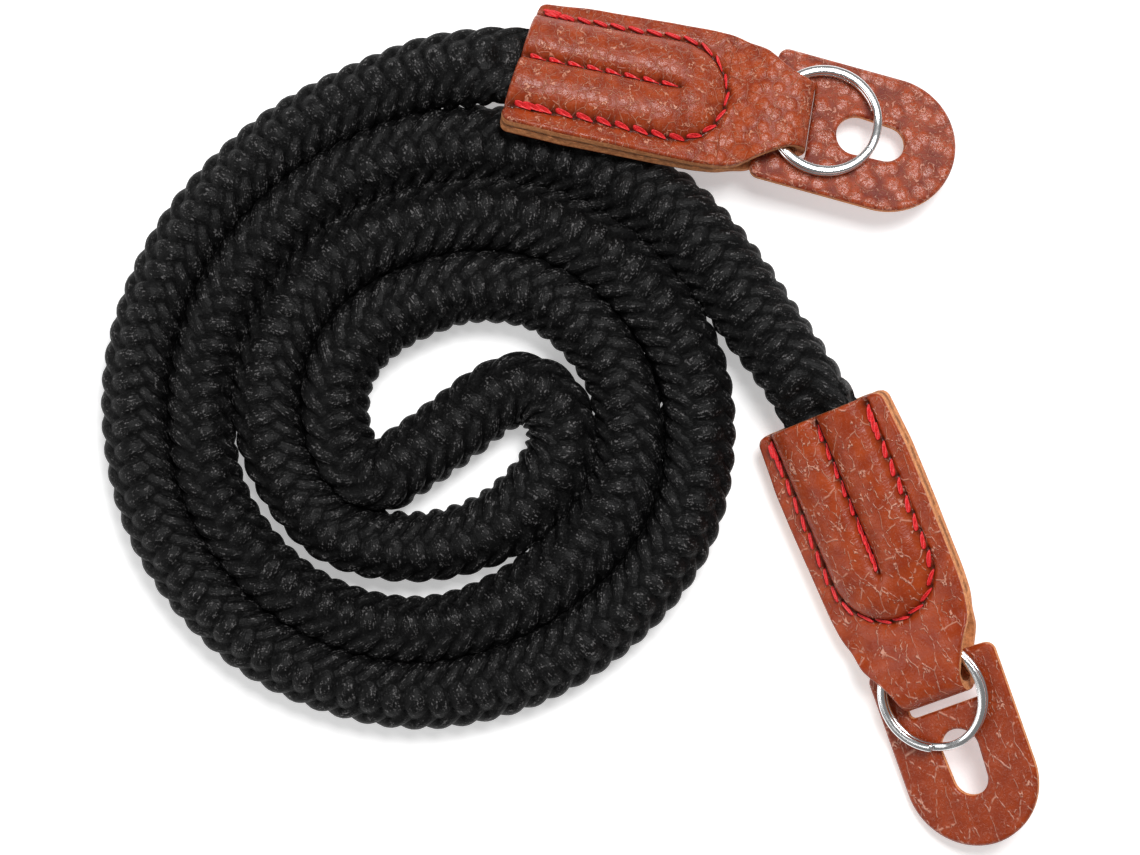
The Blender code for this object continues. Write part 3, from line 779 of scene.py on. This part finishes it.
def tab_rows(seed):
    """Each row across the strip: the places along the tab of its inner and outer faces, and their levels."""
    rows = []
    body = np.linspace(0, FOLD_FROM, round(FOLD_FROM / ROW_STEP) + 1)
    deep = (TAB_LENGTH - SKIVED - FOLD_FROM, TAB_LENGTH - FOLD_FROM)
    high = (EYE_HALF_HEIGHT, EYE_HALF_HEIGHT + SKIVED)
    for s in body:
        rows.append((s, s, lambda t, s=s: half_gap(s, t),
                     lambda t, s=s: leather_level(s, t, seed) - HOLE_DEPTH * sunk(s, t)[1]))
    for k in range(1, FOLD_ROWS):
        angle = math.pi / 2 - math.pi * k / FOLD_ROWS
        reach = abs(math.cos(angle)) ** (2 / FOLD_SQUARENESS)
        rise = math.copysign(abs(math.sin(angle)) ** (2 / FOLD_SQUARENESS), round(math.sin(angle), 9))

        def outer(t, reach=reach, rise=rise):
            half_width = smooth_outline(FOLD_FROM + deep[1] * reach)
            return (high[1] - edge_drop(half_width - np.abs(t), EDGE_ROUND)) * rise

        rows.append((FOLD_FROM + deep[0] * reach, FOLD_FROM + deep[1] * reach,
                     lambda t, rise=rise: np.full(len(t), high[0] * rise), outer))
    for s in body[::-1]:
        rows.append((s, s, lambda t, s=s: -half_gap(s, t),
                     lambda t, s=s: HOLE_DEPTH * sunk(s, t)[1] - leather_level(s, t, seed + 1)))
    return rows


def set_lay(obj, places):
    """Keeps where each point lies on the flat strip as a UV map, for the grain to follow."""
    lay = obj.data.uv_layers.new(name="lay")
    loops = np.empty(len(obj.data.loops), int)
    obj.data.loops.foreach_get("vertex_index", loops)
    lay.data.foreach_set("uv", places[loops].ravel().astype(np.float32))


def make_tab(letter, end, finishes, seed):
    """One folded strip, row by row from the upper mouth round the fold to the lower one, its ends closed."""
    bearing = math.pi / 2 * COLUMNS_TO_EDGE
    spread = np.sin(np.linspace(-1, 1, TAB_COLUMNS) * bearing) / math.sin(bearing)
    sections, lays, seam_shades_and_joints, length = [], [], [], 0.0
    before = None
    for inner_s, outer_s, inner, outer in tab_rows(seed):
        half_width = smooth_outline(outer_s)
        t = spread * half_width
        faces = []
        for s, level in ((inner_s, inner), (outer_s, outer)):
            skew = end["mouth_skew"] * (1 - smoothstep(0, SKEW_REACH, s))
            local = np.column_stack([skew * t, t, level(t), np.ones(len(t))])
            faces.append((end_frame(end, s) @ local.T).T[:, :3])
        inside, outside = faces
        steps = np.linspace(0, 1, EDGE_POINTS + 2)[1:-1, None]
        right = inside[-1] * (1 - steps) + outside[-1] * steps
        left = outside[0] * (1 - steps) + inside[0] * steps
        sections.append(np.vstack([inside, right, outside[::-1], left]))
        middle = outside[TAB_COLUMNS // 2]
        length += 0 if before is None else np.linalg.norm(middle - before)
        before = middle
        edge = np.zeros(EDGE_POINTS)
        # Painted shade in the seams' grooves and the needle's holes on the outer face; the edges keep the dark
        # joint between the layers
        groove, hole = sunk(outer_s, t) if outer_s == inner_s else (t * 0, t * 0)
        dark = np.clip(PAINTED_GROOVE_SHADE * groove**2 + PAINTED_HOLE_SHADE * hole, 0, DARKEST_PAINTED_SHADE)[::-1]
        joint, inner_dark = edge.copy(), t * 0
        if inner_s < SEAM_END:
            joint[0] = JOINT_DARK
            inner_dark[[0, -1]] = INSIDE_DARK
        seam_shades_and_joints.append(np.concatenate([inner_dark, joint, dark, joint[::-1]]))
        lays.append(np.column_stack([np.full(len(sections[-1]), length),
                                     np.concatenate([t, edge + half_width, t[::-1], edge - half_width])]))
    count, around = len(sections), len(sections[0])
    outer_from = TAB_COLUMNS + EDGE_POINTS
    place = np.tile(np.arange(around), count - 1)
    material = np.where((place >= outer_from) & (place < outer_from + TAB_COLUMNS - 1), 0, 1)
    caps = []
    for start, flip in ((0, False), ((count - 1) * around, True)):
        for c in range(TAB_COLUMNS - 1):
            opposite = outer_from + TAB_COLUMNS - 1 - c
            cap = [start + c, start + opposite, start + opposite - 1, start + c + 1]
            caps.append(cap[::-1] if flip else cap)
        right = [start + c for c in range(TAB_COLUMNS - 1, outer_from + 1)]
        left = [start + c for c in range(outer_from + TAB_COLUMNS - 1, around)] + [start]
        for side in (right, left):
            caps.append(side if flip else side[::-1])
    material = np.concatenate([material, np.ones(len(caps), int)])
    faces = skin(count, around).tolist() + caps
    tab = add_mesh("tab_" + letter, np.vstack(sections), faces, finishes, material)
    set_lay(tab, np.vstack(lays))
    keep_value(tab, "seam_shade_and_joint", np.concatenate(seam_shades_and_joints))
    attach(tab, "strap")
    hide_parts("leather_tab_" + letter)


RAW = raw_finish()
# Each finish's third colour is the pale one of the creases, the painted glints and the painted highlight on top
# of the pebbles
TAN = {
    "a": grain_finish("tan_leather_a", (0.225, 0.022, 0.0022), (0.35, 0.046, 0.0052), (0.84, 0.39, 0.25),
                      pebble=2.3, dome=0.35, neck_dome=0.9, crackle=0.7, crinkled=0.22, stretch=1.0,
                      shine=0.33, top_highlight=0.17, reach=(0.6, 0.2), painted_glint=0.2, dull=0.38),
    "b": grain_finish("tan_leather_b", (0.27, 0.028, 0.003), (0.39, 0.054, 0.007), (0.92, 0.5, 0.36),
                      pebble=2.6, dome=0.2, neck_dome=0.2, crackle=0.75, crinkled=0.18, stretch=2.2,
                      shine=0.34, top_highlight=0.1, reach=(0.52, 0.05), painted_glint=0.1, dull=0.34),
}
for seed, (letter, end) in enumerate(ENDS.items()):
    make_tab(letter, end, [TAN[letter], RAW], 3 * seed + 1)

# Stitches
# Waxed red thread of two plies, sewn by machine through both layers: round the rope's end in a U, and down its
# middle. Each stitch rises over the leather and dives into the next hole, and the seams' ends are sewn over
# again.
STITCH_SHARE = 0.86
TACK_SHARE = 1.05
STITCH_HIGH = 0.34
STITCH_DIVE = 0.9
STITCH_SLANT = 0.075
LOW_SIDE = (0.4, 0.9)
LOW_SIDE_LIFT = 0.3
LOW_SIDE_OUT = 0.5
KNOT = ((0.0, 0.25), (0.12, -0.25), (0.25, 0.05), (0.35, 0.3))
PLY_RADIUS = 0.16
PLY_TWIST = 1.9
PLY_SIDES = 7
PLY_STEPS = 13
PLY_TAPER = 0.3
PLY_APART = 0.75
PLY_ABOVE = 0.6
STITCH_BOW = 1.75
STITCH_FLATNESS = 0.8
STITCH_FULLNESS = 0.6
SEWN_LIFT = 0.1
TACK_LIFT = 0.18
KNOT_LIFT = 0.35
KNOT_SHARE = 0.7


def stitch_plies(start, stop, lift, share):
    """Two plies twisted round each other between two holes, as rings of (along, across, level) points."""
    start, stop = np.array(start), np.array(stop)
    run = stop - start
    size = np.linalg.norm(run)
    ahead = run / size
    beside = np.array((-ahead[1], ahead[0]))
    middle = (start + stop) / 2
    plies = []
    for ply in (0, math.pi):
        rings = []
        for step in np.linspace(-1, 1, PLY_STEPS):
            bearing = step * STITCH_BOW
            reach = math.copysign(abs(math.sin(bearing)) ** STITCH_FLATNESS, step)
            rise = math.copysign(abs(math.cos(bearing)) ** STITCH_FULLNESS, math.cos(bearing))
            core = middle + ahead * size * share / 2 * reach - beside * STITCH_SLANT * reach * size
            level = lift + (STITCH_HIGH if rise > 0 else STITCH_DIVE) * rise
            twist = ply + step * PLY_TWIST
            thin = PLY_RADIUS * (1 - PLY_TAPER * abs(step) ** 3)
            core = core + beside * math.cos(twist) * thin * PLY_APART
            level += math.sin(twist) * thin * PLY_ABOVE
            ring = []
            for k in range(PLY_SIDES):
                angle = 2 * math.pi * k / PLY_SIDES
                out = core + beside * math.cos(angle) * thin
                ring.append((out[0], out[1], level + math.sin(angle) * thin))
            rings.append(ring)
        plies.append(rings)
    return plies


def thread_finish():
    """Waxed red thread, brighter along its fibres."""
    material, tree, shader = new_finish("red_thread", (0.7, 0.01, 0.014), 0.45)
    fibres = noise(tree, on_object(tree), 4500.0)
    colour = dyed(tree, fibres, (0.3, (0.5, 0.004, 0.008)), (0.68, (0.95, 0.035, 0.04)))
    tree.links.new(colour, shader.inputs["Base Color"])
    return material


def make_stitches(letter, end, finish, seed):
    """A tab's stitches above and below: its seams, the tacks at their ends and the knot at its low corner."""
    points, faces = [], []
    u_seam, centre = seam_lines()
    runs = [(a, b, SEWN_LIFT, STITCH_SHARE) for seam in (u_seam, centre) for a, b in zip(seam, seam[1:])]
    lower = -np.sign(end["lie"][0][2])
    for seam, tacks in ((u_seam, 1), (u_seam[::-1], 1), (centre[::-1], end["centre_tacks"])):
        for a, b in list(zip(seam, seam[1:]))[:tacks]:
            a, b = np.array(a), np.array(b)
            runs.append((a + (b - a) / 2, b + (b - a) / 2, TACK_LIFT, TACK_SHARE))
    start, after = (np.array(hole) for hole in (u_seam if lower > 0 else u_seam[::-1])[:2])
    for share, aside in KNOT:
        first = start + (after - start) * share + (0, aside)
        runs.append((first, first + (after - start) * KNOT_SHARE, KNOT_LIFT, TACK_SHARE))
    for side in (1, -1):
        for start, stop, lift, share in runs:
            low_share = [smoothstep(*LOW_SIDE, lower * hole[1] / SEAM_HALF_WIDTH) for hole in (start, stop)]
            ends = [np.array(hole) + (0, lower * LOW_SIDE_OUT * low)
                    for hole, low in zip((start, stop), low_share)]
            for rings in stitch_plies(*ends, lift + LOW_SIDE_LIFT * low_share[0], share):
                first = len(points)
                for ring in rings:
                    for s, t, level in ring:
                        skew = end["mouth_skew"] * (1 - smoothstep(0, SKEW_REACH, s))
                        above = leather_level(s, t, seed + (side < 0))
                        point = end_frame(end, s) @ (skew * t, t, side * (above + level), 1)
                        points.append(point[:3])
                ply = (skin(len(rings), PLY_SIDES) + first)[:, ::side].tolist()
                ply += [list(range(first, first + PLY_SIDES))[::-side],
                        list(range(len(points) - PLY_SIDES, len(points)))[::side]]
                faces += ply
    stitches = add_mesh("stitches_" + letter, np.array(points), faces, [finish])
    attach(stitches, "strap")


RED = thread_finish()
for seed, (letter, end) in enumerate(ENDS.items()):
    make_stitches(letter, end, RED, 3 * seed + 1)

# Split rings
# Each ring is flattened spring-steel wire wound twice and nickel plated. It is threaded through the tab's eye,
# lies on the guard and turns freely.
RING_RADIUS = 9.8
WIRE_WIDTH = 1.5
WIRE_HEIGHT = 1.0
WIRE_PITCH = 1.2
WIRE_START, WIRE_END = 24.0, 696.0
WIRE_JOG = (340.0, 380.0)
WIRE_STATIONS = 337
WIRE_SIDES = 16
WIRE_SQUARENESS = 2.8
RING_LEVEL = 1.0
EYE_BACK = 3.0


def moved(base, ahead, left, up, yaw=0.0):
    """A frame carried along its own directions, after a turn about its up direction."""
    turn = np.eye(4)
    c, s = math.cos(math.radians(yaw)), math.sin(math.radians(yaw))
    turn[:2, :2] = ((c, -s), (s, c))
    turn[:3, 3] = (ahead, left, up)
    return base @ turn


def squared(value, squareness):
    """A sine or cosine pushed out towards a rounded square."""
    return np.sign(value) * np.abs(value) ** (2 / squareness)


def make_ring(letter, end, finish):
    """Two turns of flattened wire with a step between them, made about their middle and carried to the eye."""
    eye = end_frame(end, TAB_LENGTH - EYE_BACK)
    placed = moved(eye, EYE_BACK + end["ring_ahead"], end["ring_aside"], RING_LEVEL)
    bearing = np.linspace(WIRE_START, WIRE_END, WIRE_STATIONS)[:, None]
    climb = WIRE_PITCH * (smoothstep(*WIRE_JOG, bearing) - 0.5)
    angle = 2 * math.pi * np.arange(WIRE_SIDES)[None] / WIRE_SIDES
    radius = RING_RADIUS + (squared(np.cos(angle), WIRE_SQUARENESS) - 1) * WIRE_WIDTH / 2
    level = climb + squared(np.sin(angle), WIRE_SQUARENESS) * WIRE_HEIGHT / 2
    turn = np.radians(bearing)
    points = np.stack([radius * np.cos(turn), radius * np.sin(turn), level], -1).reshape(-1, 3)
    faces = skin(WIRE_STATIONS, WIRE_SIDES)[:, [0, 3, 2, 1]].tolist()
    faces += [list(range(WIRE_SIDES)), list(range(len(points) - 1, len(points) - WIRE_SIDES - 1, -1))]
    ring = add_mesh("ring_" + letter, points, faces, [finish], placed=placed)
    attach(ring, "ring_" + letter)
    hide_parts("split_ring_" + letter)


def nickel_finish():
    """Polished nickel plate, worn a little unevenly."""
    material, tree, shader = new_finish("nickel", (0.8, 0.8, 0.8), 0.16, 1.0)
    wear = noise(tree, on_object(tree), 600.0, 3.0)
    tree.links.new(ramp(tree, wear, 0.0, 1.0, 0.1, 0.26, "LINEAR"), shader.inputs["Roughness"])
    return material


NICKEL = nickel_finish()
for letter, end in ENDS.items():
    make_ring(letter, end, NICKEL)

# Guards
# A tongue of darker, coarser grained leather lies under each ring and keeps it off the camera's body. The tab's
# fold passes through its slit, and the camera's lug through its oblong hole.
GUARD_LENGTH = 33.8
GUARD_HALF_WIDTH = 12.0
GUARD_THICKNESS = 1.7
GUARD_LEVEL = -1.3
GUARD_CORNER = 1.7
SLIT_REAR = 3.4
SLIT_HALF_WIDTH = 6.9
SLIT_CORNER = 0.9
HOLE_LARGE = (16.4, 3.5)
HOLE_SMALL = (21.7, 3.2)
GUARD_GRID = 0.42
RIM_CLEAR = 0.6
GUARD_EDGE_ROUND = 0.4
GUARD_UNEVEN = 0.05
EVEN_RIM = 2.0
GRAIN_APART = 100.0


def arc(centre, radius, start, end, steps):
    """Points along an arc, between bearings."""
    turn = np.radians(np.linspace(start, end, steps + 1))
    return [(centre[0] + radius * math.cos(a), centre[1] + radius * math.sin(a)) for a in turn]


def evenly(outline, step):
    """The closed outline again, with points about a step apart."""
    ends = np.array([*outline, outline[0]])
    along = np.concatenate([[0], np.cumsum(np.linalg.norm(np.diff(ends, axis=0), axis=1))])
    at = np.linspace(0, along[-1], round(along[-1] / step) + 1)[:-1]
    return np.column_stack([np.interp(at, along, ends[:, 0]), np.interp(at, along, ends[:, 1])])


def within(points, outline):
    """Which points lie inside a closed outline."""
    x, y = points[:, 0:1], points[:, 1:2]
    x0, y0 = outline[:, 0], outline[:, 1]
    x1, y1 = np.roll(x0, -1), np.roll(y0, -1)
    crosses = ((y0 <= y) != (y1 <= y)) & (x < x0 + (y - y0) / np.where(y1 == y0, 1, y1 - y0) * (x1 - x0))
    return crosses.sum(axis=1) % 2 == 1


def in_leather(points, edge, slit, hole):
    """Which points lie on the guard, and in neither of its openings."""
    return within(points, edge) & ~within(points, slit) & ~within(points, hole)


def off_rims(points, rims):
    """How far each point lies from the nearest rim."""
    return np.linalg.norm(points[:, None] - rims[None], axis=2).min(axis=1)


def guard_outlines(slit_front, yaw):
    """The guard's edge, its slit cut square to the tab, and its hole."""
    w, r = GUARD_HALF_WIDTH, GUARD_CORNER
    edge = [*arc((r, w - r), r, 90, 180, 6), *arc((r, r - w), r, 180, 270, 6),
            *arc((GUARD_LENGTH - w, 0), w, -90, 90, 60)]
    near, far, w, r = SLIT_REAR, slit_front, SLIT_HALF_WIDTH, SLIT_CORNER
    slit = [*arc((near + r, w - r), r, 90, 180, 5), *arc((near + r, r - w), r, 180, 270, 5),
            *arc((far - r, r - w), r, 270, 360, 5), *arc((far - r, w - r), r, 0, 90, 5)]
    slit = [(x + y * math.tan(math.radians(yaw)), y) for x, y in slit]
    (near, large), (far, small) = HOLE_LARGE, HOLE_SMALL
    hole = [*arc((near, 0), large, 90, 270, 24), *arc((far, 0), small, -90, 90, 24)]
    return [evenly(outline, GUARD_GRID) for outline in (edge, slit, hole)]


def make_guard(letter, end, finishes, seed):
    """A flat plate of fine triangles between its outlines, with rounded rims and raw walls."""
    eye = end_frame(end, TAB_LENGTH - EYE_BACK)
    turned = moved(eye, EYE_BACK, end["guard_aside"], GUARD_LEVEL, end["guard_yaw"])
    placed = moved(turned, -end["guard_behind"], 0, 0)
    outlines = guard_outlines(end["slit_front"], end["guard_yaw"])
    rims = np.vstack(outlines)
    across = np.arange(0.0, GUARD_LENGTH, GUARD_GRID)
    up = np.arange(-GUARD_HALF_WIDTH, GUARD_HALF_WIDTH, GUARD_GRID)
    grid = np.array([(x + GUARD_GRID / 2 * (i % 2), y) for i, y in enumerate(up) for x in across])
    grid = grid[in_leather(grid, *outlines)]
    flat = np.vstack([rims, grid[off_rims(grid, rims) > GUARD_GRID * RIM_CLEAR]])
    edges, start = [], 0
    for outline in outlines:
        count = len(outline)
        edges += [(start + k, start + (k + 1) % count) for k in range(count)]
        start += count
    found = delaunay_2d_cdt([Vector(p) for p in flat.tolist()], edges, [], 0, 1e-6)
    flat, triangles = np.array([tuple(v) for v in found[0]]), np.array(found[2])
    triangles = triangles[in_leather(flat[triangles].mean(axis=1), *outlines)]
    to_rim = off_rims(flat, rims)
    level = GUARD_THICKNESS / 2 - edge_drop(to_rim, GUARD_EDGE_ROUND)
    uneven = GUARD_UNEVEN * smoothstep(0.0, EVEN_RIM, to_rim)
    top = np.column_stack([flat, level + uneven * ripple(flat[:, 0], flat[:, 1], seed)])
    bottom = np.column_stack([flat, -level - uneven * ripple(flat[:, 0], flat[:, 1], seed + 1)])
    count = len(flat)
    faces = triangles.tolist() + (triangles[:, ::-1] + count).tolist()
    sides = np.vstack([triangles[:, [0, 1]], triangles[:, [1, 2]], triangles[:, [2, 0]]])
    seen = {tuple(side) for side in sides.tolist()}
    walls = [(b, a, a + count, b + count) for a, b in seen if (b, a) not in seen]
    material = [0] * len(faces) + [1] * len(walls)
    guard = add_mesh("guard_" + letter, np.vstack([top, bottom]), faces + walls, finishes, material, placed)
    set_lay(guard, np.vstack([flat, flat]) + GRAIN_APART * seed)
    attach(guard, "strap")
    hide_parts("leather_guard_" + letter)


# Each finish's third colour is the pale one of the creases, the painted glints and the painted highlight on top
# of the pebbles
DARK_TAN = {
    "a": grain_finish("dark_tan_a", (0.165, 0.013, 0.0018), (0.36, 0.048, 0.0062), (0.76, 0.36, 0.26),
                      pebble=2.9, dome=1.0, neck_dome=1.0, crackle=0.75, crinkled=0.3, stretch=1.0,
                      shine=0.36, top_highlight=0.15, reach=(0.62, 0.2), painted_glint=0.42, dull=0.55),
    "b": grain_finish("dark_tan_b", (0.26, 0.029, 0.003), (0.37, 0.051, 0.007), (0.95, 0.52, 0.38),
                      pebble=3.0, dome=0.12, neck_dome=0.12, crackle=0.8, crinkled=0.13, stretch=3.2,
                      shine=0.34, top_highlight=0.1, reach=(0.52, 0.05), painted_glint=0.2, dull=0.36),
}
for seed, (letter, end) in enumerate(ENDS.items()):
    make_guard(letter, end, [DARK_TAN[letter], RAW], 5 * seed + 2)
